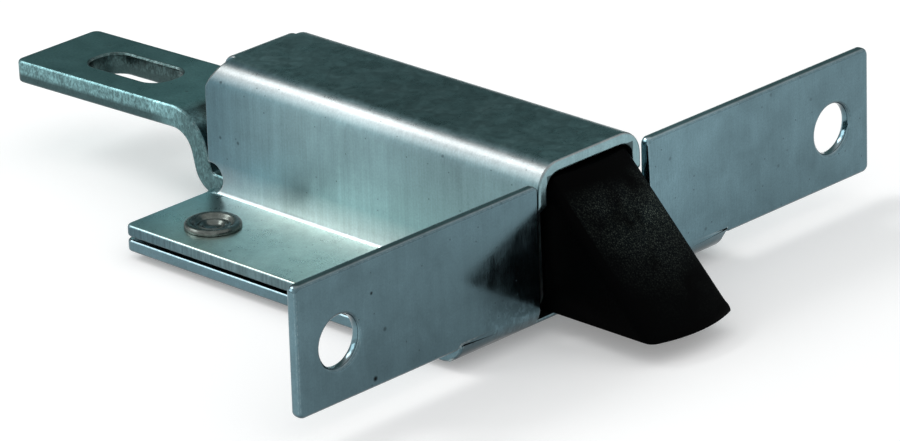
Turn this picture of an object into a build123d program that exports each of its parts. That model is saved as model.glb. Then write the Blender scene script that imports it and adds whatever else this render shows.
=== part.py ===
"""Spring-loaded slam latch for an access door.

A bevelled bolt slides in a folded steel channel. A pull strap under the bolt draws it
back by hand, a coil spring pushes it out again, and two ears carry the screws.

X runs along the screw face, Y back from it and Z up. The drawing height zero is the
underside of the bracket's floor; the finished pieces are lowered at the end, so that
the origin is the middle of the two screw holes on the front face.
All sizes are millimetres.
"""
from build123d import *
import os
from math import radians, tan

# Screw face of the bracket
face_width = 116.0
ear_height = 19.0
ear_lower_edge = 2.7
ear_corner_radius = 1.1
screw_spacing = 100.0
screw_height = 8.8  # over the ears' lower edge
screw_hole_diameter = 7.4
window_clearance = 0.7  # channel wall to the inner end of each ear

# Floor of the bracket
bracket_sheet = 1.8
floor_width = 54.2
latch_length = 66.1  # front face to the rear edges of floor and housing
bracket_bend_inside = 2.2
floor_corner_radius = 1.2
seat_height = 0.45  # pressed seats that hold the housing off the floor
seat_diameter = 9.6

# Housing, a hat section of sheet
housing_sheet = 1.75
housing_width = 54.2  # over both flanges
channel_width = 20.7
channel_height = 23.8  # floor underside to the top of the web
channel_corner_outside = 4.0
flange_bend_inside = 0.7
flange_corner_radius = 1.2
flange_front_clearance = 0.5  # flange edge to the bend of the bracket
channel_setback = 0.8  # front edge of web and upper walls behind the screw face
wall_setback = 2.1  # front edge of the lower walls behind the screw face
wall_step_height = 17.8
wall_step_rise = 1.4
relief_hole_diameter = 4.3
relief_hole_inset = 0.7  # hole centre in front of the rear edge
corner_relief_length = 2.2
corner_relief_drop = 3.8

# Rear tab of the housing, the seat of the spring
tab_width = 12.6
tab_bend_inside = 0.4
tab_clearance = 0.5  # lower edge of the tab to the strap
spring_boss_height = 1.0
spring_boss_clearance = 0.3
spring_boss_wall = 0.4  # how much smaller the dimple is than the boss, in radius

# Bolt
bolt_side_clearance = 0.2
bolt_floor_clearance = 0.2
bolt_web_clearance = 0.5
bolt_reach = 19.2  # tip of the nose in front of the screw face
bolt_rear = 32.0
nose_bow = 1.8  # middle of the nose in front of its corners
nose_land = 0.5  # upright front edge under the bevel
bevel_angle = 45.0
bevel_bow = 1.2
bolt_corner_radius = 2.0
nose_corner_radius = 1.6  # seen from above
bore_front = 8.0
bore_clearance = 0.35
bore_roof = 1.9
bore_chamfer = 0.6

# Pull strap
strap_sheet = 3.5
strap_side_clearance = 0.3
strap_floor_clearance = 0.3
strap_step_clearance = 0.3  # front edge of the foot to the step of the bolt
strap_end = 108.7
strap_rise = 8.7  # foot to handle, at the upper bend
strap_leg_start = 68.9
strap_leg_lean = 14.0  # degrees from upright
strap_droop = 1.5  # degrees, of the handle
strap_lower_bend = 0.9  # inside radius
strap_upper_bend = 3.8  # inside radius
strap_corner_radius = 1.3
grip_slot_length = 16.1
grip_slot_width = 7.0
grip_slot_corner = 3.0
grip_slot_margin = 9.2

# Peg of the bolt: it holds the strap, and the ends of its slot in the floor stop the bolt
travel = 18.5
peg_diameter = 6.0
peg_at = 22.0
peg_clearance = 0.1
peg_slot_clearance = 0.25
peg_recess = 0.3  # end of the peg inside the floor's underside
peg_chamfer = 0.5
foot_seat_clearance = 0.05

# Return spring
spring_wire = 1.2
spring_outside = 11.0
spring_turns = 7
spring_wire_sides = 6  # flats that stand for the round wire

# Rivets
rivet_shank = 5.0
rivet_hole_clearance = 0.05
rivet_head_diameter = 8.8
rivet_head_height = 1.2
rivet_ring_outside = 8.3
rivet_ring_inside = 5.2
rivet_ring_height = 0.85
rivet_ring_crown = 0.9  # width of the ring's flat top
rivet_bore_diameter = 4.0
rivet_bore_depth = 1.6  # under the flange's top
rivet_front_margin = 14.0
rivet_rear_margin = 10.4
rivet_side_margin = 7.5  # from the side edge of the flange

# Heights that follow
floor_top = bracket_sheet
bend_outside = bracket_bend_inside + bracket_sheet
ear_top = ear_lower_edge + ear_height
flange_underside = floor_top + seat_height
flange_top = flange_underside + housing_sheet
web_underside = channel_height - housing_sheet
bolt_underside = floor_top + bolt_floor_clearance
bolt_top = web_underside - bolt_web_clearance
foot_underside = floor_top + strap_floor_clearance
foot_top = foot_underside + strap_sheet
bolt_step_top = foot_top + foot_seat_clearance
tab_bottom = foot_top + tab_clearance

# Widths and lengths that follow
window_width = channel_width + 2 * window_clearance
channel_inside = channel_width - 2 * housing_sheet
bolt_width = channel_inside - 2 * bolt_side_clearance
strap_width = channel_inside - 2 * strap_side_clearance
flange_front = bend_outside + flange_front_clearance
tab_inner_face = latch_length - housing_sheet
strap_front = bore_front + strap_step_clearance
spring_bore = spring_outside + 2 * bore_clearance
spring_height = bolt_top - bore_roof - spring_bore / 2
peg_end = peg_recess
through = 2 * face_width  # longer than anything it cuts

standing = (Align.CENTER, Align.CENTER, Align.MIN)
on_floor = (Align.CENTER, Align.MIN, Align.MIN)


def bent_strip(route, inside_radii, sheet, width):
    """A sheet strip of the given width, bent along a middle line of (y, z) points."""
    radii = [radius + sheet / 2 for radius in inside_radii]
    section = trace(FilletPolyline(*route, radius=radii), sheet)
    return extrude(Plane.YZ * section, width / 2, both=True)


def side_prism(*outline):
    """A cutter with an outline of (y, z) points, running right across the latch."""
    return extrude(Plane.YZ * make_face(Polyline(*outline, close=True)), through, both=True)


def rivet_places():
    """Name and (x, y) place of each rivet."""
    rows = {"front": rivet_front_margin, "rear": latch_length - rivet_rear_margin}
    row_at = housing_width / 2 - rivet_side_margin
    sides = {"left": -row_at, "right": row_at}
    return {f"rivet_{row}_{side}": (x, y) for row, y in rows.items() for side, x in sides.items()}


def rivet_drills():
    """Cutters for the rivet holes."""
    drill = Cylinder(rivet_shank / 2 + rivet_hole_clearance, through)
    return [Pos(x, y, 0) * drill for x, y in rivet_places().values()]


def round_outer_corners(sheet, radius):
    """Round the two rear corners, seen from above, of a folded sheet."""
    upright = sheet.edges().filter_by(Axis.Z).group_by(Axis.Y)[-1]
    outer = upright.filter_by(lambda edge: abs(edge.center().X) > window_width)
    return fillet(outer, radius)


def mounting_bracket():
    """Floor sheet with its front bent up into the two screw ears."""
    middle = bracket_sheet / 2
    floor = bent_strip(
        [(latch_length, middle), (middle, middle), (middle, ear_top)],
        [bracket_bend_inside],
        bracket_sheet,
        floor_width,
    )
    floor -= Pos(0, 0, bend_outside) * Box(through, through, through, align=standing)
    floor = round_outer_corners(floor, floor_corner_radius)

    face = Rectangle(face_width, ear_height) - Rectangle(window_width, ear_height)
    free_corners = face.vertices().filter_by(
        lambda corner: corner.Y > 0 or abs(corner.X) > floor_width / 2
    )
    face = Plane.XZ * Pos(0, ear_lower_edge + ear_height / 2) * fillet(free_corners, ear_corner_radius)
    ears = extrude(face, -bracket_sheet)
    ears -= Box(floor_width, bend_outside, bend_outside, align=on_floor)

    bracket = floor + ears
    bracket -= Pos(0, -middle, floor_top) * Box(
        window_width, bend_outside + middle, through, align=on_floor
    )
    screw_drill = Rot(90, 0, 0) * Cylinder(screw_hole_diameter / 2, through)
    for side in (-1, 1):
        bracket -= Pos(side * screw_spacing / 2, 0, ear_lower_edge + screw_height) * screw_drill
    seat = Pos(0, 0, floor_top) * Cylinder(seat_diameter / 2, seat_height, align=standing)
    bracket += [Pos(x, y, 0) * seat for x, y in rivet_places().values()]
    bracket -= rivet_drills()
    bracket -= peg_slot()
    return bracket


def peg_slot():
    """Cutter for the floor's slot, which the peg of the bolt runs along."""
    slot = SlotCenterToCenter(travel, peg_diameter + 2 * peg_slot_clearance, rotation=90)
    return extrude(Pos(0, peg_at + travel / 2) * slot, through, both=True)


def housing():
    """Hat section with a rear tab bent down from its web."""
    wall_at = (channel_width - housing_sheet) / 2
    flange_at = flange_underside + housing_sheet / 2
    web_at = channel_height - housing_sheet / 2
    flange_bend = flange_bend_inside + housing_sheet / 2
    web_bend = channel_corner_outside - housing_sheet / 2
    middle_line = FilletPolyline(
        (-housing_width / 2, flange_at),
        (-wall_at, flange_at),
        (-wall_at, web_at),
        (wall_at, web_at),
        (wall_at, flange_at),
        (housing_width / 2, flange_at),
        radius=[flange_bend, web_bend, web_bend, flange_bend],
    )
    hat = extrude(Plane.XZ * trace(middle_line, housing_sheet), -latch_length)
    hat = round_outer_corners(hat, flange_corner_radius)

    # Front edges: flanges behind the bend, walls inside the window
    hat -= side_prism((0, 0), (channel_setback, 0), (channel_setback, through), (0, through))
    hat -= side_prism(
        (0, 0),
        (wall_setback, 0),
        (wall_setback, wall_step_height - wall_step_rise),
        (channel_setback, wall_step_height),
        (0, wall_step_height),
    )
    flange_cut = Box(housing_width, 2 * flange_front, through)
    for side in (-1, 1):
        hat -= Pos(side * (channel_width + housing_width) / 2, 0, 0) * flange_cut

    # Rear reliefs
    relief = Rot(0, 90, 0) * Cylinder(relief_hole_diameter / 2, through)
    relief_height = flange_top + relief_hole_diameter / 2
    hat -= Pos(0, latch_length - relief_hole_inset, relief_height) * relief
    hat -= side_prism(
        (latch_length - corner_relief_length, channel_height),
        (latch_length, channel_height - corner_relief_drop),
        (latch_length + housing_sheet, channel_height - corner_relief_drop),
        (latch_length + housing_sheet, channel_height),
    )

    # Tab
    tab_start = latch_length - corner_relief_length - tab_bend_inside - housing_sheet
    hat -= Pos(0, tab_start, web_underside) * Box(tab_width, through, through, align=on_floor)
    tab_at = latch_length - housing_sheet / 2
    hat += bent_strip(
        [(tab_start, web_at), (tab_at, web_at), (tab_at, tab_bottom)],
        [tab_bend_inside],
        housing_sheet,
        tab_width,
    )
    boss_radius = spring_outside / 2 - spring_wire - spring_boss_clearance
    on_tab = Pos(0, tab_inner_face, spring_height) * Rot(90, 0, 0)
    hat += on_tab * Cylinder(boss_radius, spring_boss_height, align=standing)
    dimple = Cylinder(boss_radius - spring_boss_wall, spring_boss_height, align=standing)
    hat -= Pos(0, latch_length, spring_height) * Rot(90, 0, 0) * dimple
    hat -= rivet_drills()
    return hat


def bevel_bar():
    """A leaning round bar: its upper side is the bowed bevel of the bolt."""
    half = bolt_width / 2
    radius = (half**2 + bevel_bow**2) / (2 * bevel_bow)
    corner_y = nose_bow - bolt_reach
    corner_z = bolt_underside + nose_land
    bar = Pos(0, radius - bevel_bow, 0) * Cylinder(radius, through)
    return Pos(0, corner_y, corner_z) * Rot(bevel_angle - 90, 0, 0) * bar


def latch_bolt():
    """Moulded bolt with a bowed bevel, a bore for the spring and a peg for the strap."""
    half = bolt_width / 2
    corner_y = nose_bow - bolt_reach
    plan = Polyline((half, corner_y), (half, bolt_rear), (-half, bolt_rear), (-half, corner_y))
    plan += ThreePointArc((-half, corner_y), (0, -bolt_reach), (half, corner_y))
    plan = make_face(plan)
    plan = fillet(plan.vertices().group_by(Axis.Y)[0], nose_corner_radius)
    body = extrude(Pos(0, 0, bolt_underside) * plan, bolt_top - bolt_underside)
    body = body & bevel_bar()
    sides = body.faces().filter_by(Axis.X).edges()
    long_edges = sides.filter_by(
        lambda edge: edge.center().Z > bolt_underside + bolt_corner_radius
        and edge.length > bolt_top - bolt_underside
    )
    body = fillet(long_edges, bolt_corner_radius)

    body -= Pos(0, bore_front, 0) * Box(bolt_width, through, bolt_step_top, align=on_floor)
    bore = Cylinder(spring_bore / 2, through, align=standing)
    body -= Pos(0, bore_front, spring_height) * Rot(-90, 0, 0) * bore
    mouth = body.edges().filter_by(GeomType.CIRCLE).sort_by(Axis.Y)[-1]
    body = chamfer(mouth, bore_chamfer)

    peg = Cylinder(peg_diameter / 2, bolt_step_top - peg_end, align=standing)
    peg = chamfer(peg.edges().group_by(Axis.Z)[0], peg_chamfer)
    return body + Pos(0, peg_at, peg_end) * peg


def pull_strap():
    """Thick strip with a foot under the bolt, a leaning leg and a slotted handle."""
    foot_at = foot_underside + strap_sheet / 2
    knee_y = strap_leg_start + strap_rise * tan(radians(strap_leg_lean))
    handle_at = foot_at + strap_rise
    drop = (strap_end - knee_y) * tan(radians(strap_droop))
    strap = bent_strip(
        [
            (strap_front, foot_at),
            (strap_leg_start, foot_at),
            (knee_y, handle_at),
            (strap_end, handle_at - drop),
        ],
        [strap_lower_bend, strap_upper_bend],
        strap_sheet,
        strap_width,
    )
    corners = strap.edges().filter_by(lambda edge: abs(edge.length - strap_sheet) < 0.01)
    strap = fillet(corners.sort_by(Axis.Y)[-2:], strap_corner_radius)
    grip = RectangleRounded(grip_slot_width, grip_slot_length, grip_slot_corner)
    grip_y = strap_end - grip_slot_margin - grip_slot_length / 2
    strap -= extrude(Pos(0, grip_y) * grip, through, both=True)
    strap -= Pos(0, peg_at, 0) * Cylinder(peg_diameter / 2 + peg_clearance, 2 * foot_top)
    return strap


def return_spring():
    """Compression spring between the bottom of the bolt's bore and the rear tab."""
    length = tab_inner_face - bore_front - spring_wire
    radius = (spring_outside - spring_wire) / 2
    coil = Helix(length / spring_turns, length, radius)
    section = Plane(coil @ 0, z_dir=coil % 0) * RegularPolygon(spring_wire / 2, spring_wire_sides)
    wire = sweep(section, coil, is_frenet=True)
    return Pos(0, bore_front + spring_wire / 2, spring_height) * Rot(-90, 0, 0) * wire


def rivet():
    """Semi-tubular rivet, its rolled ring on the flange and its head under the floor."""
    shank = rivet_shank / 2
    bore = rivet_bore_diameter / 2
    inner = rivet_ring_inside / 2
    outer = rivet_ring_outside / 2
    crown = (inner + outer) / 2
    head = rivet_head_diameter / 2
    outline = Polyline(
        (0, -rivet_head_height),
        (0, flange_top - rivet_bore_depth),
        (bore, flange_top - rivet_bore_depth),
        (inner, flange_top + rivet_ring_height / 2),
        (crown - rivet_ring_crown / 2, flange_top + rivet_ring_height),
        (crown + rivet_ring_crown / 2, flange_top + rivet_ring_height),
        (outer, flange_top + rivet_ring_height / 2),
        (outer, flange_top),
        (shank, flange_top),
        (shank, 0),
        (head, 0),
        (head * 0.8, -rivet_head_height * 0.7),
        (head * 0.4, -rivet_head_height),
        close=True,
    )
    return revolve(Plane.XZ * make_face(outline), Axis.Z)


def main():
    os.makedirs("parts", exist_ok=True)
    pieces = {
        "mounting_bracket": mounting_bracket(),
        "housing": housing(),
        "latch_bolt": latch_bolt(),
        "pull_strap": pull_strap(),
        "return_spring": return_spring(),
    }
    for name, (x, y) in rivet_places().items():
        pieces[name] = Pos(x, y, 0) * rivet()
    to_screw_line = Pos(0, 0, -(ear_lower_edge + screw_height))
    for name, piece in pieces.items():
        export_step(to_screw_line * piece, f"parts/{name}.step")


main()
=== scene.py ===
"""Access door latch: finishes, rounded edges, rivets, spring, floor, light and camera.

Everything is in metres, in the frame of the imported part: X along the screw face,
Y back from it, Z up, and the origin midway between the two screw holes.
"""
import math
from collections import namedtuple
from functools import cached_property

import bmesh
import bpy
from mathutils import Matrix, Vector


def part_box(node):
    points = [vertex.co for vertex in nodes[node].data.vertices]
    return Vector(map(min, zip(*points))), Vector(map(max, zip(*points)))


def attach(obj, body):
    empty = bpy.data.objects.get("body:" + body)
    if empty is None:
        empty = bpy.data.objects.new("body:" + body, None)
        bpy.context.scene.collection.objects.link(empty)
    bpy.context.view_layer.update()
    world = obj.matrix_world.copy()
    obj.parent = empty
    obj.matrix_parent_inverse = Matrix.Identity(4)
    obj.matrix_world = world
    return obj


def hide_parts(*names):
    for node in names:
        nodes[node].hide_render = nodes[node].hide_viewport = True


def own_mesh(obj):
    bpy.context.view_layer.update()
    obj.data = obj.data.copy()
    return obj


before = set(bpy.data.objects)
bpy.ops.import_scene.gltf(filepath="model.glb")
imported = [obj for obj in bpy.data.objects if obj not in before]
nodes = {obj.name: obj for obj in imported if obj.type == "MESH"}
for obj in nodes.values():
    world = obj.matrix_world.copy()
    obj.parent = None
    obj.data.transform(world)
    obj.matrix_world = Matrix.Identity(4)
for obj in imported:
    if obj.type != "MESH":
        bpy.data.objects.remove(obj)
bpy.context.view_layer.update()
scene = bpy.context.scene

MM = 0.001

# Camera, at the viewing angle of the photograph
CAMERA_AZIMUTH = -45.618
CAMERA_ELEVATION = 22.049
CAMERA_ROLL = -1.832
CAMERA_DISTANCE = 856.649 * MM
CAMERA_ASIDE = -20.392 * MM
CAMERA_ABOVE = 12.158 * MM
LENS = 248.315
SENSOR = 36.0
SCREW_LINE = 11.5 * MM  # height of the screw holes over the floor plate's underside

# Studio
FLOOR_COLOUR = (0.9, 0.9, 0.9)
FLOOR_LIFT = 0.22  # glow that keeps the floor pale where the camera or a reflection sees it
FLOOR_HALF = 6.0
LIGHT_STUDIO = (0.86, 0.86, 0.86)
DARK_STUDIO = (0.095, 0.168, 0.172)
DARK_SIDE = (0.68, 0.67, 0.30)  # the direction of the studio's dark side, right of the rear
DARK_FADE = (0.98, 0.45)  # cosines of the angles from there to all dark and to all light
AIM = Vector((0, 40 * MM, 0))  # what the softboxes face

# Softboxes: direction from the aim, distance, width, height and power
SOFTBOXES = {
    "rear_above": ((-0.3, 0.65, 0.70), 1.2, 0.55, 0.36, 3.2),
    "left_rear": ((-0.66, 0.62, 0.42), 1.3, 0.6, 0.5, 2.5),
}

# Zinc plate, as it looks on each sheet. Some of these colours are painted light or shade: the
# web's darker colour is painted shade; the flanges' paler colour, the two bends' colours and the
# bracket tops' paler colour are painted light
SHADED_WEB_ZINC = (0.195, 0.275, 0.28)
WALL_ZINC = (0.232, 0.362, 0.39)
REAR_ZINC = (0.15, 0.27, 0.315)
LIT_FLANGE_ZINC = (0.465, 0.555, 0.505)
LOWER_BEND_GLOW_ZINC = (0.43, 0.5, 0.52)
UPPER_BEND_HIGHLIGHT_ZINC = (0.33, 0.36, 0.365)
BRACKET_ZINC = (0.122, 0.203, 0.234)
BRACKET_LIT_TOP_ZINC = (0.235, 0.285, 0.3)
STRAP_TOP_ZINC = (0.18, 0.31, 0.31)
STRAP_SIDE_ZINC = (0.128, 0.24, 0.252)
RIVET_STEEL = (0.118, 0.135, 0.125)
SPRING_STEEL = (0.32, 0.33, 0.33)
WORN_EDGE = (0.62, 0.72, 0.73)
WORN_RADIUS = 0.4 * MM
DIRT = (0.012, 0.016, 0.018)
PLASTIC = (0.0005, 0.0006, 0.0007)
WORN_SHEEN_PLASTIC = (0.010, 0.017, 0.019)
DUST = (0.13, 0.16, 0.13)

# Pits on the left-hand ear: x, z, radius and how much light they leave
EAR_PITS = (
    (-43.9 * MM, 5.0 * MM, 0.32 * MM, 0.15),
    (-41.6 * MM, -0.9 * MM, 0.42 * MM, 0.5),
    (-43.7 * MM, -7.4 * MM, 0.5 * MM, 0.05),
)

# Places on the part
EAR_END = 58 * MM
SCREW_HOLE = 50 * MM  # x of the screw holes
HOUSING_LENGTH = 66 * MM
BEVEL_SLOPE = 1.414  # length along the bolt's 45 degree bevel for each rise
STRAP_BEND = 76.5 * MM  # y where the strap's hook turns into the handle
STRAP_BEND_REACH = (4 * MM, 1.5 * MM)  # how far from there the bend's light fades in
STRAP_BAND_HINGE = 75 * MM  # y from which the smooth band on the strap's side droops
STRAP_BAND_DROOP = 0.026

# Heights between which one look of a sheet or of the bolt fades into the next
WEB_FADE = (11 * MM, 12 * MM)
UPPER_BEND_FADE = (7.5 * MM, 8.5 * MM)
LOWER_BEND_FADE = (-2.5 * MM, -6.6 * MM)
WALL_LIGHT_FADE = (3 * MM, -5 * MM)
WALL_FOOT_FADE = (-5.6 * MM, -6.8 * MM)
FLANGE_FADE = (-6.9 * MM, -7.5 * MM)
INSIDE_TOP_FADE = (10.6 * MM, 10.5 * MM)
FLOOR_PLATE_FADE = (-9.2 * MM, -9.6 * MM)
GLINT_FADE = (-2.5 * MM, -6.5 * MM)
STRAP_BAND_FADE = (1.0 * MM, 0.4 * MM)
BEVEL_HEIGHTS = (-10 * MM, 9 * MM)

# The same along the part, back from the screw face
WALL_REAR_FADE = (46 * MM, 64 * MM)
FLANGE_REAR_FADE = (50 * MM, 68 * MM)
INSIDE_REAR_FADE = (62.5 * MM, 62 * MM)
HOOK_FADE = (72 * MM, 79 * MM)
STRAP_BAND_START = (73 * MM, 78 * MM)
HANDLE_LIGHT_FADE = (92 * MM, 76 * MM)
HANDLE_RUB_FADE = (80 * MM, 76 * MM)

# The same across the part, out from the middle to both sides
LOWER_BEND_ENDS = (25 * MM, 22 * MM)
FLANGE_SIDE_FADE = (26 * MM, 26.7 * MM)
INSIDE_ASIDE_FADE = (8.75 * MM, 8.65 * MM)
SCUFF_FADE = (26 * MM, 13 * MM)
SLOT_FADE = (6.5 * MM, 5 * MM)

# The same from left to right
GLINT_START = (-25 * MM, -17 * MM)
GLINT_END = (0, -2 * MM)
DUST_FADE = (-6 * MM, 1 * MM)

# Meshes and their edges
MERGE = 0.002 * MM
TURNED_MERGE = 0.001 * MM
FLAT = math.radians(0.5)
SMOOTH = math.radians(38)
SHARP_EDGE = math.radians(40)
SHEET_EDGE = 0.4 * MM
FACE_EDGE = 0.62 * MM
FACE_DEPTH = 1.9 * MM  # how far the screw face reaches back
STRAP_EDGE = 0.5 * MM
BOLT_EDGE = 0.22 * MM
BOLT_HOUSED = 3 * MM  # further back the bolt is always inside the housing
NOSE_UNDERSIDE = -9.4 * MM
RIVET_HOLE = 3 * MM  # edges this near to a rivet's axis stay sharp
WALL_FOOT = -2 * MM
FLANGE_BEND = (11.05 * MM, -6.8 * MM)  # x and z of the axis of the bend into the flange
BEND_REACH = 2.3 * MM  # further from that axis the bend's hidden side lies
RELIEF_FOOT = 8.4 * MM  # height of the lower end of the corner reliefs
SHORT_EDGE = 0.25 * MM

# Half sections of the rivets in mm, as radius and height: the dome over the part's
# underside, and the rolled ring with its bowl over the flange
RIVET_DOME = (
    (0, 0), (1.9, 0), (2.9, 0.12), (3.7, 0.42), (4.22, 0.86), (4.4, 1.12), (4.38, 1.2), (2.5, 1.2),
)
RIVET_RING = (
    (2.5, 0), (4.02, 0), (4.15, 0.1), (4.15, 0.42), (4.03, 0.64), (3.78, 0.8), (3.46, 0.85),
    (3.14, 0.78), (2.9, 0.6), (2.74, 0.34), (2.55, 0.16), (2.3, 0.12), (2.08, 0.24),
    (1.86, 0.34), (1.64, 0.26), (1.45, 0), (1.15, -0.22), (0.6, -0.3), (0, -0.3),
)
RING_HEIGHT = 0.85 * MM
RIVET_STEPS = 72

# Spring
WIRE_RADIUS = 0.6 * MM
WIRE_SIDES = 14
COIL_TURNS = 7
TURN_STEPS = 40

rivets = sorted(name for name in nodes if name.startswith("rivet_"))
rivet_places = [sum(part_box(name), Vector()) / 2 for name in rivets]
rivet_row = max(place.x for place in rivet_places)


# Shapes

def open_mesh(node, cuts):
    """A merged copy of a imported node's mesh, with its flat faces made whole.

    Each face with a hole is cut in two through the hole, at the x of `cuts`.
    """
    mesh = bmesh.new()
    mesh.from_mesh(nodes[node].data)
    bmesh.ops.remove_doubles(mesh, verts=mesh.verts, dist=MERGE)
    for x in cuts:
        cut = bmesh.ops.bisect_plane(
            mesh,
            geom=mesh.verts[:] + mesh.edges[:] + mesh.faces[:],
            dist=MERGE,
            plane_co=(x, 0, 0),
            plane_no=(1, 0, 0),
        )
        for piece in cut["geom_cut"]:
            if isinstance(piece, bmesh.types.BMEdge):
                piece.seam = True
    bmesh.ops.dissolve_limit(
        mesh,
        angle_limit=FLAT,
        use_dissolve_boundaries=False,
        verts=mesh.verts,
        edges=mesh.edges,
        delimit={"NORMAL", "SEAM"},
    )
    return mesh


def under_channel(place):
    """Whether a place is on the inner or lower side of the housing's walls and bends."""
    inward = FLANGE_BEND[0] - abs(place.x)
    below = FLANGE_BEND[1] - place.z
    wall = inward > BEND_REACH and place.z < WALL_FOOT
    bend = inward > 0 and below > 0 and math.hypot(inward, below) > BEND_REACH
    return wall or bend


def off_nose(place):
    """Whether a place on the bolt is under the nose or always inside the housing."""
    return place.y > BOLT_HOUSED or place.z < NOSE_UNDERSIDE


def nowhere(place):
    return False


def sharp_edges(mesh, hidden):
    """Sharp outward edges, without those at `hidden` places and the rivet holes' rims."""
    return [
        edge
        for edge in mesh.edges
        if len(edge.link_faces) == 2
        and edge.is_convex
        and edge.calc_face_angle() > SHARP_EDGE
        and min((edge.verts[0].co - place).xy.length for place in rivet_places) > RIVET_HOLE
        and not all(hidden(vert.co) for vert in edge.verts)
    ]


def foremost(edge):
    return min(vert.co.y for vert in edge.verts)


def join_short_edges(mesh, height):
    """Draw rising edges at this height that are too short for rounding to points."""
    short = []
    for edge in mesh.edges:
        low, high = sorted(vert.co.z for vert in edge.verts)
        rising = high - low > SHORT_EDGE / 4
        near = abs((low + high) / 2 - height) < SHORT_EDGE
        if rising and near and edge.calc_length() < SHORT_EDGE:
            short.append(edge)
    bmesh.ops.collapse(mesh, edges=short)


def round_edges(mesh, edges, width):
    bmesh.ops.bevel(
        mesh,
        geom=edges,
        offset=width,
        offset_type="OFFSET",
        segments=3,
        profile=0.5,
        affect="EDGES",
        clamp_overlap=False,
        material=-1,
        loop_slide=True,
    )


def add_piece(name, mesh, material, body, replaced):
    """Make a finished piece from a bmesh, hide the node it replaces and attach it to its body."""
    for face in mesh.faces:
        face.smooth = True
    data = bpy.data.meshes.new(name)
    mesh.to_mesh(data)
    mesh.free()
    data.materials.append(material)
    data.set_sharp_from_angle(angle=SMOOTH)
    piece = bpy.data.objects.new(name, data)
    scene.collection.objects.link(piece)
    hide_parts(replaced)
    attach(piece, body)
    return piece


def level_normals(piece):
    """Keep the flats flat up to the rounded edges."""
    weighted = piece.modifiers.new("level_normals", "WEIGHTED_NORMAL")
    weighted.mode = "FACE_AREA"
    weighted.weight = 80
    weighted.keep_sharp = True


def rolled_piece(
    name,
    node,
    cuts,
    width,
    material,
    body,
    face_width=None,
    joined_at=None,
    hidden=nowhere,
):
    """A node's shape with its sharp edges rounded a little.

    Edges of the screw face are rounded to `face_width` where one is given, and edges
    at `hidden` places stay sharp. Too short edges at the height `joined_at` go first.
    """
    mesh = open_mesh(node, cuts)
    if joined_at is not None:
        join_short_edges(mesh, joined_at)
    edges = sharp_edges(mesh, hidden)
    if face_width is None:
        round_edges(mesh, edges, width)
    else:
        rear = [edge for edge in edges if foremost(edge) > FACE_DEPTH]
        front = [edge for edge in edges if foremost(edge) <= FACE_DEPTH]
        round_edges(mesh, front, face_width)
        round_edges(mesh, [edge for edge in rear if edge.is_valid], width)
    low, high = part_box(node)
    for vert in mesh.verts:
        vert.co = [min(max(at, least), most) for at, least, most in zip(vert.co, low, high)]
    piece = add_piece(name, mesh, material, body, node)
    level_normals(piece)


def turned_mesh(outline, centre):
    """A closed turned shape about an upright axis, from (radius, height) points."""
    mesh = bmesh.new()
    points = [
        mesh.verts.new((centre.x + radius, centre.y, height)) for radius, height in outline
    ]
    edges = [mesh.edges.new(pair) for pair in zip(points, points[1:])]
    bmesh.ops.spin(
        mesh,
        geom=points + edges,
        cent=(centre.x, centre.y, 0),
        axis=(0, 0, 1),
        angle=2 * math.pi,
        steps=RIVET_STEPS,
        use_merge=True,
    )
    bmesh.ops.remove_doubles(mesh, verts=mesh.verts, dist=TURNED_MERGE)
    bmesh.ops.recalc_face_normals(mesh, faces=mesh.faces)
    return mesh


def add_rivet(node, material):
    """Semi-tubular rivet: rolled ring with its bowl above, low dome below."""
    low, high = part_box(node)
    flange = high.z - RING_HEIGHT
    outline = [(radius * MM, low.z + height * MM) for radius, height in RIVET_DOME]
    outline += [(radius * MM, flange + height * MM) for radius, height in RIVET_RING]
    mesh = turned_mesh(outline, (low + high) / 2)
    add_piece(node + "_rolled", mesh, material, "frame", node)


def add_spring(material):
    """Coil spring of round wire between the bolt and the rear tab."""
    low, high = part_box("return_spring")
    coil = (high.x - low.x) / 2 - WIRE_RADIUS
    start = Vector((coil, low.y + WIRE_RADIUS, (low.z + high.z) / 2))
    rise = (high.y - low.y - 2 * WIRE_RADIUS) / COIL_TURNS
    lean = math.atan2(rise, 2 * math.pi * coil)
    turn = Matrix.Translation(start) @ Matrix.Rotation(lean, 4, "X")
    mesh = bmesh.new()
    bmesh.ops.create_circle(
        mesh, cap_ends=True, radius=WIRE_RADIUS, segments=WIRE_SIDES, matrix=turn
    )
    bmesh.ops.spin(
        mesh,
        geom=mesh.verts[:] + mesh.edges[:] + mesh.faces[:],
        cent=(0, 0, start.z),
        axis=(0, -1, 0),
        dvec=(0, rise / TURN_STEPS, 0),
        angle=2 * math.pi * COIL_TURNS,
        steps=COIL_TURNS * TURN_STEPS,
        use_duplicate=False,
    )
    bmesh.ops.recalc_face_normals(mesh, faces=mesh.faces)
    return add_piece("coil", mesh, material, "frame", "return_spring")


# Finishes

class NodeTree:
    """Shader nodes, added and linked step by step."""

    def __init__(self, tree):
        self.tree = tree

    def add(self, kind, **values):
        node = self.tree.nodes.new(kind)
        for key, value in values.items():
            setattr(node, key, value)
        return node

    def put(self, socket, value):
        """Link a socket to another one, or set its value."""
        if isinstance(value, bpy.types.NodeSocket):
            self.tree.links.new(value, socket)
        elif socket.type == "RGBA":
            socket.default_value = (*value, 1)
        else:
            socket.default_value = value

    def mix(self, factor, first, second):
        """A colour between two."""
        node = self.add("ShaderNodeMix", data_type="RGBA")
        self.put(node.inputs["Factor"], factor)
        colours = [socket for socket in node.inputs if socket.type == "RGBA"]
        for socket, value in zip(colours, (first, second)):
            self.put(socket, value)
        return [socket for socket in node.outputs if socket.type == "RGBA"][0]


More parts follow.
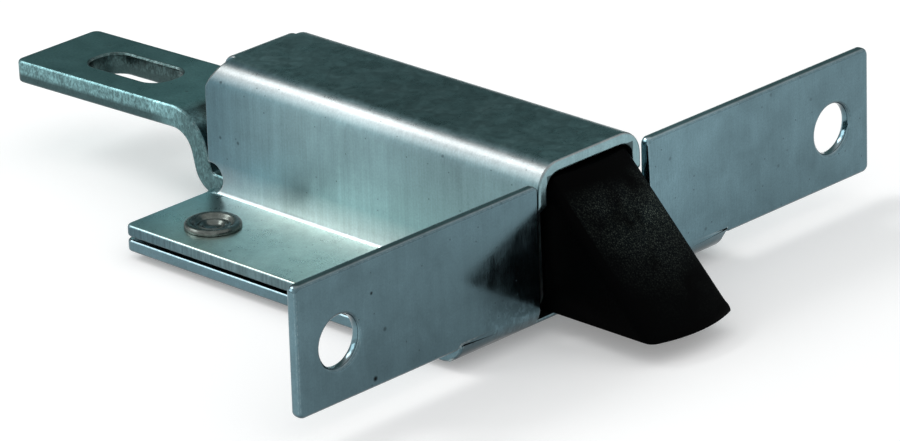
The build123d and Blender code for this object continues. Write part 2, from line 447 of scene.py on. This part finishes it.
class Finish(NodeTree):
    """A node material on Object coordinates."""

    def __init__(self, name):
        self.material = bpy.data.materials.new(name)
        self.material.use_nodes = True
        super().__init__(self.material.node_tree)
        self.shader = self.tree.nodes["Principled BSDF"]
        self.place = self.add("ShaderNodeTexCoord").outputs["Object"]

    def split(self, vector):
        node = self.add("ShaderNodeSeparateXYZ")
        self.put(node.inputs["Vector"], vector)
        return node.outputs

    @cached_property
    def axes(self):
        """The place's X, Y and Z."""
        return self.split(self.place)

    @cached_property
    def normal(self):
        """The surface normal's X, Y and Z, each from -1 to 1."""
        return self.split(self.add("ShaderNodeNewGeometry").outputs["Normal"])

    def math(self, operation, *values):
        node = self.add("ShaderNodeMath", operation=operation)
        for socket, value in zip(node.inputs, values):
            self.put(socket, value)
        return node.outputs[0]

    def chain(self, operation, values):
        result = values[0]
        for value in values[1:]:
            result = self.math(operation, result, value)
        return result

    def product(self, *values):
        return self.chain("MULTIPLY", values)

    def total(self, *values):
        return self.chain("ADD", values)

    def size(self, value):
        return self.math("ABSOLUTE", value)

    def span(self, value, low, high, to_low=0.0, to_high=1.0):
        """A number from `to_low` to `to_high` while the value runs from low to high."""
        node = self.add("ShaderNodeMapRange")
        node.clamp = True
        for socket, number in zip(node.inputs, (value, low, high, to_low, to_high)):
            self.put(socket, number)
        return node.outputs["Result"]

    def vary(self, value, low, high, amount):
        """A factor that swings around one by `amount` while the value runs from low to high."""
        return self.span(value, low, high, 1 - amount, 1 + amount)

    def where(self, mask, factor):
        """A factor that is one off the mask and `factor` on it."""
        return self.span(mask, 0, 1, 1, factor)

    def blend(self, factor, first, second):
        """A number between two."""
        node = self.add("ShaderNodeMix", data_type="FLOAT")
        for index, value in ((0, factor), (2, first), (3, second)):
            self.put(node.inputs[index], value)
        return node.outputs[0]

    def ramp(self, value, *stops):
        """A number that follows (position, value) stops."""
        most = max(number for _, number in stops)
        node = self.add("ShaderNodeValToRGB")
        self.put(node.inputs["Fac"], value)
        points = node.color_ramp.elements
        while len(points) < len(stops):
            points.new(0.5)
        for point, (position, number) in zip(points, stops):
            point.position = position
            point.color = [number / most] * 3 + [1]
        return self.math("MULTIPLY", node.outputs["Color"], most)

    def shade(self, colour, factor):
        """A colour times a number that varies over the surface."""
        scale = self.add("ShaderNodeVectorMath", operation="SCALE")
        self.put(scale.inputs[0], colour)
        self.put(scale.inputs["Scale"], factor)
        return scale.outputs["Vector"]

    def noise(self, scale, detail=2.0, stretch=(1, 1, 1), distortion=0.0, shift=(0, 0, 0)):
        """Noise with about `scale` patches to the millimetre."""
        mapping = self.add("ShaderNodeMapping")
        self.put(mapping.inputs["Vector"], self.place)
        mapping.inputs["Location"].default_value = shift
        mapping.inputs["Scale"].default_value = [scale * axis / MM for axis in stretch]
        node = self.add("ShaderNodeTexNoise")
        self.put(node.inputs["Vector"], mapping.outputs["Vector"])
        node.inputs["Scale"].default_value = 1.0
        node.inputs["Detail"].default_value = detail
        node.inputs["Distortion"].default_value = distortion
        return node.outputs["Fac"]

    def spots(self, across, along, per_mm, size, share):
        """Sparse round spots on a plane: `share` of the cells hold one, `size` in mm."""
        plane = self.add("ShaderNodeCombineXYZ")
        self.put(plane.inputs["X"], across)
        self.put(plane.inputs["Y"], along)
        cells = self.add("ShaderNodeTexVoronoi", voronoi_dimensions="2D")
        self.put(cells.inputs["Vector"], plane.outputs["Vector"])
        cells.inputs["Scale"].default_value = per_mm / MM
        dot = self.span(cells.outputs["Distance"], size * per_mm, size * per_mm * 0.4)
        split = self.add("ShaderNodeSeparateColor")
        self.put(split.inputs["Color"], cells.outputs["Color"])
        chosen = self.span(split.outputs["Red"], 1 - share, 1 - share + 0.02)
        return self.product(dot, chosen)

    def edges(self, radius):
        """One along the edges, nought on the flats."""
        rounded = self.add("ShaderNodeBevel", samples=6)
        rounded.inputs["Radius"].default_value = radius
        geometry = self.add("ShaderNodeNewGeometry")
        dot = self.add("ShaderNodeVectorMath", operation="DOT_PRODUCT")
        self.put(dot.inputs[0], rounded.outputs["Normal"])
        self.put(dot.inputs[1], geometry.outputs["True Normal"])
        return self.span(dot.outputs["Value"], 0.982, 0.87)

    def coat(self, base, roughness, height, relief):
        """Give the surface its colour, its roughness and its fine relief."""
        bump = self.add("ShaderNodeBump")
        bump.inputs["Strength"].default_value = 1.0
        self.put(bump.inputs["Distance"], relief)
        self.put(bump.inputs["Height"], height)
        self.put(self.shader.inputs["Base Color"], base)
        self.put(self.shader.inputs["Roughness"], roughness)
        self.put(self.shader.inputs["Normal"], bump.outputs["Normal"])


# What a sheet's paint gives for each place: the plate's colour, with painted light and shade where
# the paint puts them, a factor for its brightness, what is added to its roughness and how much its
# edges are rubbed
Paint = namedtuple("Paint", "colour level matt rubbed")


def zinc(
    name,
    paint,
    roughness,
    streak,
    streaky=1.0,
    grain=1.0,
    relief=0.012 * MM,
    upright=False,
    pitted=0.5,
):
    """Zinc-plated sheet: rolled streaks, blotches, small pits and worn edges.

    The pits of an `upright` sheet lie in the plane of the face.
    """
    finish = Finish(name)
    streaks = finish.noise(4.0, 3, streak)
    broad = finish.noise(0.8, 2, streak, shift=(3, 1, 2))
    blotches = finish.noise(0.2, 4, distortion=0.6)
    crystals = finish.noise(3.2, 2, distortion=0.3, shift=(5, 5, 5))
    x, y, z = finish.axes
    across, along = (x, z) if upright else (finish.total(x, z), y)
    pits = finish.spots(across, along, 0.13, 0.34, 0.3)
    specks = finish.spots(along, across, 0.5, 0.16, 0.12)
    dirt = finish.math("MAXIMUM", finish.product(pits, pitted), finish.product(specks, 0.5))
    nicks = finish.span(finish.noise(1.3, 3, shift=(2, 8, 1)), 0.42, 0.6)

    sheet = paint(finish)
    factor = finish.product(
        sheet.level,
        finish.vary(streaks, 0.25, 0.75, 0.1 * streaky),
        finish.vary(broad, 0.3, 0.7, 0.06 * streaky),
        finish.vary(blotches, 0.25, 0.75, 0.14),
        finish.vary(crystals, 0.3, 0.7, 0.07 * grain),
    )
    worn = finish.product(finish.edges(WORN_RADIUS), nicks, sheet.rubbed)
    base = finish.mix(worn, finish.shade(sheet.colour, factor), WORN_EDGE)
    base = finish.mix(finish.product(dirt, 0.9), base, DIRT)
    rough = finish.total(
        finish.span(blotches, 0.3, 0.7, roughness - 0.04, roughness + 0.06),
        finish.span(streaks, 0.3, 0.7, -0.03 * streaky, 0.05 * streaky),
        finish.product(dirt, 0.3),
        sheet.matt,
    )
    height = finish.math("SUBTRACT", finish.product(streaks, 0.5 * streaky), dirt)
    height = finish.total(height, finish.product(crystals, 0.35 * grain))
    finish.coat(base, rough, height, relief)
    finish.shader.inputs["Metallic"].default_value = 1.0
    return finish.material


def housing_paint(finish):
    """A darker web over paler walls and flanges, toned along their length. The web's darkness is
    painted shade. The flanges' paleness, the bends' glow and the walls' lighter foot are painted
    light. The inside at the rear is darkened as painted shade.
    """
    x, y, z = finish.axes
    up = finish.normal["Z"]
    aside = finish.size(x)
    # The web gets its own darker colour: painted shade on the web.
    web = finish.product(finish.span(up, 0.93, 0.99), finish.span(z, *WEB_FADE))
    # Painted highlight tint: the bend under the web gets a paler, neutral colour so that its
    # highlight reads white.
    upper_bend_highlight = finish.product(
        finish.span(up, 0.3, 0.7), finish.span(up, 0.97, 0.85), finish.span(z, *UPPER_BEND_FADE)
    )
    # Painted glow on the bend into the flange: a paler colour low on the walls.
    lower_bend_glow = finish.product(
        finish.span(z, *LOWER_BEND_FADE), finish.span(aside, *LOWER_BEND_ENDS)
    )
    flange = finish.product(finish.span(z, *FLANGE_FADE), finish.span(up, 0.5, 0.8))
    # Inside the channel near its rear and below the web, dimmed to a quarter: painted shade.
    inside = finish.product(
        finish.span(aside, *INSIDE_ASIDE_FADE),
        finish.span(y, *INSIDE_REAR_FADE),
        finish.span(z, *INSIDE_TOP_FADE),
    )

    colour = finish.mix(finish.span(y, *WALL_REAR_FADE), WALL_ZINC, REAR_ZINC)
    colour = finish.mix(lower_bend_glow, colour, LOWER_BEND_GLOW_ZINC)
    colour = finish.mix(upper_bend_highlight, colour, UPPER_BEND_HIGHLIGHT_ZINC)
    colour = finish.mix(web, colour, SHADED_WEB_ZINC)
    # The flanges' paler colour is painted light; toward the rear it fades into the rear colour.
    flange_rear = finish.span(y, *FLANGE_REAR_FADE, 0, 0.85)
    colour = finish.mix(flange, colour, finish.mix(flange_rear, LIT_FLANGE_ZINC, REAR_ZINC))

    along = finish.span(y, 0, HOUSING_LENGTH)
    # The walls are made lighter low down and again at the foot: painted light from the bend into
    # the flange. Front-facing faces are paler, and the inside near the rear is dimmed as painted
    # shade.
    wall = finish.product(
        finish.ramp(along, (0, 0.8), (0.3, 0.75), (0.55, 0.95), (0.82, 0.8), (1, 0.62)),
        finish.span(z, *WALL_LIGHT_FADE, 1, 1.18),
        finish.span(z, *WALL_FOOT_FADE, 1, 1.15),
        finish.span(finish.normal["Y"], -0.6, -0.95, 1, 1.32),
        finish.where(inside, 0.25),
    )
    sheared = finish.noise(3.0, 2, stretch=(0.2, 1, 0.12), shift=(9, 2, 2))
    side_edge = finish.span(sheared, 0.35, 0.65, 0.42, 0.62)
    wall = finish.blend(finish.span(aside, *FLANGE_SIDE_FADE), wall, side_edge)
    mottle = finish.noise(0.42, 5, distortion=1.2, shift=(7, 3, 1))
    # The web's level is lighter at both ends of its length and has a mottle; the change along the
    # length is part of the painted shade on the web.
    top = finish.product(
        finish.ramp(along, (0, 1.1), (0.35, 0.76), (0.55, 0.78), (1, 1.12)),
        finish.span(mottle, 0.34, 0.66, 0.78, 1.24),
    )
    foot = finish.ramp(along, (0, 0.8), (0.3, 0.85), (0.6, 1.12), (0.85, 1.3), (1, 1.25))
    level = finish.blend(flange, finish.blend(web, wall, top), foot)
    upright = finish.span(finish.size(finish.normal["X"]), 0.7, 0.97)
    return Paint(colour, level, matt=finish.product(upright, 0.13), rubbed=0.7)


def ear_pit(finish, x, z, radius, light):
    """A factor for the brightness in and around a pit in the screw face."""
    aside = finish.math("SUBTRACT", finish.axes["X"], x)
    above = finish.math("SUBTRACT", finish.axes["Z"], z)
    square = finish.total(finish.product(aside, aside), finish.product(above, above))
    return finish.span(finish.math("SQRT", square), 0.35 * radius, radius, light, 1)


def bracket_paint(finish):
    """Toned from ear to ear, paler on the ends, with scuffs by the channel. The brightness from
    ear to ear is a painted reflection. The paler, brighter tops are painted light, and the darker
    downward faces are painted shade. The bright patches low on the left ear are painted glints.
    """
    x, z = finish.axes["X"], finish.axes["Z"]
    up = finish.normal["Z"]
    on_floor = finish.span(z, *FLOOR_PLATE_FADE)
    sideways = finish.span(finish.size(finish.normal["X"]), 0.5, 0.9)
    # Upward faces are paler and brighter: painted light on the bracket's tops.
    upward = finish.span(up, 0.6, 0.95)
    scuffs = finish.noise(4.2, 4, stretch=(1, 1, 0.14), distortion=0.4, shift=(6, 1, 3))
    by_channel = finish.span(finish.size(x), *SCUFF_FADE)
    scuffed = finish.product(finish.span(scuffs, 0.4, 0.7), by_channel)
    glitter = finish.noise(1.1, 4, stretch=(1, 1, 0.7), distortion=0.8, shift=(2, 2, 9))
    # Painted glints: bright broken patches low on the left ear, beside the channel.
    glints = finish.product(
        finish.span(x, *GLINT_START),
        finish.span(x, *GLINT_END),
        finish.span(z, *GLINT_FADE),
        finish.span(glitter, 0.48, 0.6),
    )
    # Painted reflection: brightness from ear to ear, darker on the left ear.
    painted_reflection_tone = finish.ramp(
        finish.span(x, -EAR_END, EAR_END),
        (0, 0.76),
        (0.19, 0.71),
        (0.38, 0.87),
        (0.52, 1.1),
        (0.6, 1.2),
        (0.8, 0.98),
        (1, 0.92),
    )
    level = finish.product(
        painted_reflection_tone,
        finish.where(sideways, finish.blend(on_floor, 1.4, 1.25)),
        finish.where(upward, 1.25),
        # Downward faces are darker: painted shade.
        finish.span(up, -0.15, -0.6, 1, 0.45),
        finish.where(glints, 1.4),
        finish.where(scuffed, 1.15),
        *(ear_pit(finish, *pit) for pit in EAR_PITS),
    )
    colour = finish.mix(upward, BRACKET_ZINC, BRACKET_LIT_TOP_ZINC)
    return Paint(colour, level, matt=finish.product(scuffed, 0.08), rubbed=0.8)


def strap_paint(finish):
    """A plain top, lighter toward the housing as painted light; sheared sides with bright crystals
    over a smooth, darker lower band, darkened in the slot as painted shade, with a painted
    highlight at the bend.
    """
    x, y, z = finish.axes
    side = finish.span(finish.size(finish.normal["Z"]), 0.985, 0.93)
    in_slot = finish.span(finish.size(x), *SLOT_FADE)
    outer = finish.product(side, finish.math("SUBTRACT", 1.0, in_slot))
    colour = finish.mix(outer, STRAP_TOP_ZINC, STRAP_SIDE_ZINC)

    torn = finish.noise(2.4, 5, stretch=(1, 1, 0.62), distortion=0.8, shift=(4, 2, 6))
    patches = finish.noise(0.5, 2, shift=(1, 1, 3))
    hook = finish.span(torn, 0.38, 0.68, 0.5, 0.95)
    handle = finish.product(
        finish.span(torn, 0.38, 0.66, 0.74, 1.7), finish.span(patches, 0.35, 0.65, 0.82, 1.15)
    )
    level = finish.blend(finish.span(y, *HOOK_FADE), hook, handle)
    droop = finish.product(finish.math("SUBTRACT", y, STRAP_BAND_HINGE), STRAP_BAND_DROOP)
    band = finish.product(
        finish.span(finish.total(z, droop), *STRAP_BAND_FADE),
        finish.span(y, *STRAP_BAND_START),
    )
    # The slot's walls are made much darker than the outer sides: painted shade in the slot.
    level = finish.blend(band, level, finish.blend(in_slot, 0.36, 0.85))
    # Painted highlight on the sides at the strap's bend.
    from_bend = finish.size(finish.math("SUBTRACT", y, STRAP_BEND))
    level = finish.product(
        level,
        finish.blend(in_slot, 0.95, 0.27),
        finish.where(finish.span(from_bend, *STRAP_BEND_REACH), 1.5),
    )
    # The top is lighter toward the housing: painted light.
    top = finish.span(y, *HANDLE_LIGHT_FADE, 1, 1.45)
    rubbed = finish.blend(in_slot, finish.span(y, *HANDLE_RUB_FADE, 0.25, 1), 1)
    return Paint(colour, finish.blend(side, top, level), matt=0.0, rubbed=rubbed)


def rivet_paint(finish):
    """Dull steel, a little cloudy."""
    level = finish.span(finish.noise(1.1, 3), 0.3, 0.7, 0.75, 1.3)
    return Paint(RIVET_STEEL, level, matt=0.0, rubbed=0.3)


def moulded_plastic():
    """Black moulded plastic: fine grain, a dusting of pale specks on the worn bevel. The bevel's
    paler area is worn plastic with a painted sheen, and it fades out toward the top as painted
    shade under the web.
    """
    finish = Finish("bolt_plastic")
    x, z = finish.axes["X"], finish.axes["Z"]
    grain = finish.noise(3.5, 4)
    clouds = finish.noise(0.16, 3, distortion=0.4, shift=(2, 5, 1))
    slope = finish.product(z, BEVEL_SLOPE)
    dust = finish.spots(x, slope, 2.6, 0.13, 0.4)
    fine_dust = finish.spots(slope, x, 5.2, 0.08, 0.6)
    rubbed = finish.ramp(
        finish.span(z, *BEVEL_HEIGHTS),
        (0, 0),
        (0.3, 0.08),
        (0.52, 0.4),
        (0.74, 1.0),
        (0.86, 0.6),
        (0.97, 0),
    )
    # The bevel's paler area is worn plastic with a painted sheen; the ramp above fades it out
    # toward the top of the bevel as painted shade under the web.
    wear_and_sheen = finish.product(
        finish.span(finish.normal["Z"], 0.45, 0.66),
        finish.span(finish.normal["Y"], -0.45, -0.66),
        rubbed,
        finish.span(clouds, 0.36, 0.62),
        finish.span(x, *DUST_FADE, 0.25, 1),
    )
    specks = finish.math("MAXIMUM", dust, finish.product(fine_dust, 0.7))
    base = finish.shade(PLASTIC, finish.span(grain, 0.3, 0.7, 0.75, 1.3))
    base = finish.mix(finish.product(wear_and_sheen, 0.55), base, WORN_SHEEN_PLASTIC)
    base = finish.mix(finish.product(specks, wear_and_sheen, 0.6), base, DUST)
    finish.coat(base, finish.span(grain, 0.3, 0.7, 0.42, 0.6), grain, 0.02 * MM)
    finish.shader.inputs["Specular IOR Level"].default_value = 0.035
    finish.shader.inputs["IOR"].default_value = 1.3
    return finish.material


def drawn_wire():
    """Spring steel wire, lightly streaked by the drawing."""
    finish = Finish("spring_steel")
    draw = finish.noise(2.5, 3, stretch=(1, 0.2, 1))
    base = finish.shade(SPRING_STEEL, finish.span(draw, 0.3, 0.7, 0.75, 1.15))
    finish.coat(base, finish.span(draw, 0.3, 0.7, 0.28, 0.4), draw, 0.01 * MM)
    finish.shader.inputs["Metallic"].default_value = 1.0
    return finish.material


# Studio

def add_camera():
    """Camera that looks at the front left of the latch."""
    azimuth, elevation, roll = map(
        math.radians, (CAMERA_AZIMUTH, CAMERA_ELEVATION, CAMERA_ROLL)
    )
    back = Vector(
        (
            math.sin(azimuth) * math.cos(elevation),
            -math.cos(azimuth) * math.cos(elevation),
            math.sin(elevation),
        )
    )
    level_right = (-back).cross(Vector((0, 0, 1))).normalized()
    level_up = level_right.cross(-back)
    right = math.cos(roll) * level_right + math.sin(roll) * level_up
    up = -math.sin(roll) * level_right + math.cos(roll) * level_up
    data = bpy.data.cameras.new("camera")
    data.lens = LENS
    data.sensor_width = SENSOR
    data.clip_start = 0.01
    data.clip_end = 30
    camera = bpy.data.objects.new("camera", data)
    scene.collection.objects.link(camera)
    place = back * CAMERA_DISTANCE + right * CAMERA_ASIDE + up * CAMERA_ABOVE
    place.z -= SCREW_LINE
    turn = Matrix((right, up, back)).transposed().to_4x4()
    camera.matrix_world = Matrix.Translation(place) @ turn
    scene.camera = camera


def floor_paper():
    """Pale paper that also glows a little where the camera or a reflection sees it."""
    finish = Finish("floor")
    shader = finish.shader
    finish.put(shader.inputs["Base Color"], FLOOR_COLOUR)
    finish.put(shader.inputs["Emission Color"], (1, 1, 1))
    shader.inputs["Roughness"].default_value = 0.95
    shader.inputs["Specular IOR Level"].default_value = 0.0
    rays = finish.add("ShaderNodeLightPath").outputs
    seen = finish.math("MAXIMUM", rays["Is Camera Ray"], rays["Is Glossy Ray"])
    seen = finish.math("MAXIMUM", seen, rays["Is Transmission Ray"])
    finish.put(shader.inputs["Emission Strength"], finish.product(seen, FLOOR_LIFT))
    return finish.material


def add_floor():
    """Plain pale floor under the lowest point of the part."""
    lowest = min(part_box(name)[0].z for name in nodes)
    mesh = bmesh.new()
    bmesh.ops.create_grid(
        mesh,
        x_segments=1,
        y_segments=1,
        size=FLOOR_HALF,
        matrix=Matrix.Translation((0, 0, lowest)),
    )
    data = bpy.data.meshes.new("floor")
    mesh.to_mesh(data)
    mesh.free()
    data.materials.append(floor_paper())
    floor = bpy.data.objects.new("floor", data)
    scene.collection.objects.link(floor)


def add_world():
    """Even studio light that falls off to a blue-green grey right of the rear."""
    world = bpy.data.worlds.new("studio")
    scene.world = world
    world.use_nodes = True
    tree = NodeTree(world.node_tree)
    dot = tree.add("ShaderNodeVectorMath", operation="DOT_PRODUCT")
    tree.put(dot.inputs[0], tree.add("ShaderNodeTexCoord").outputs["Generated"])
    tree.put(dot.inputs[1], Vector(DARK_SIDE).normalized())
    light = tree.add("ShaderNodeMapRange", interpolation_type="SMOOTHSTEP")
    for socket, value in zip(light.inputs, (dot.outputs["Value"], *DARK_FADE)):
        tree.put(socket, value)
    background = world.node_tree.nodes["Background"]
    colour = tree.mix(light.outputs["Result"], DARK_STUDIO, LIGHT_STUDIO)
    tree.put(background.inputs["Color"], colour)
    background.inputs["Strength"].default_value = 1.0


def add_softbox(name, direction, distance, width, height, power):
    data = bpy.data.lights.new(name, "AREA")
    data.shape = "RECTANGLE"
    data.size = width
    data.size_y = height
    data.energy = power
    light = bpy.data.objects.new(name, data)
    scene.collection.objects.link(light)
    toward = Vector(direction).normalized()
    turn = toward.to_track_quat("Z", "Y").to_matrix().to_4x4()
    light.matrix_world = Matrix.Translation(AIM + toward * distance) @ turn
    light.visible_camera = False


add_camera()
add_floor()
add_world()
for name, softbox in SOFTBOXES.items():
    add_softbox(name, *softbox)

housing_steel = zinc("housing_steel", housing_paint, 0.3, streak=(1, 1, 0.03))
bracket_steel = zinc(
    "bracket_steel",
    bracket_paint,
    0.13,
    streak=(1, 1, 0.05),
    streaky=0.5,
    relief=0.005 * MM,
    upright=True,
    pitted=0.35,
)
strap_steel = zinc("strap_steel", strap_paint, 0.3, streak=(1, 1, 0.3), streaky=0.5, grain=2.0)
rivet_steel = zinc("rivet_steel", rivet_paint, 0.24, streak=(1, 1, 1), streaky=0.5)

rolled_piece(
    "channel",
    "housing",
    (-rivet_row, 0, rivet_row),
    SHEET_EDGE,
    housing_steel,
    "frame",
    joined_at=RELIEF_FOOT,
    hidden=under_channel,
)
rolled_piece(
    "bracket",
    "mounting_bracket",
    (-SCREW_HOLE, -rivet_row, 0, rivet_row, SCREW_HOLE),
    SHEET_EDGE,
    bracket_steel,
    "frame",
    face_width=FACE_EDGE,
)
rolled_piece("strap", "pull_strap", (0,), STRAP_EDGE, strap_steel, "bolt")
rolled_piece(
    "bolt_block",
    "latch_bolt",
    (0,),
    BOLT_EDGE,
    moulded_plastic(),
    "bolt",
    hidden=off_nose,
)
for node in rivets:
    add_rivet(node, rivet_steel)
spring = add_spring(drawn_wire())
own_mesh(spring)

scene.view_settings.view_transform = "Standard"
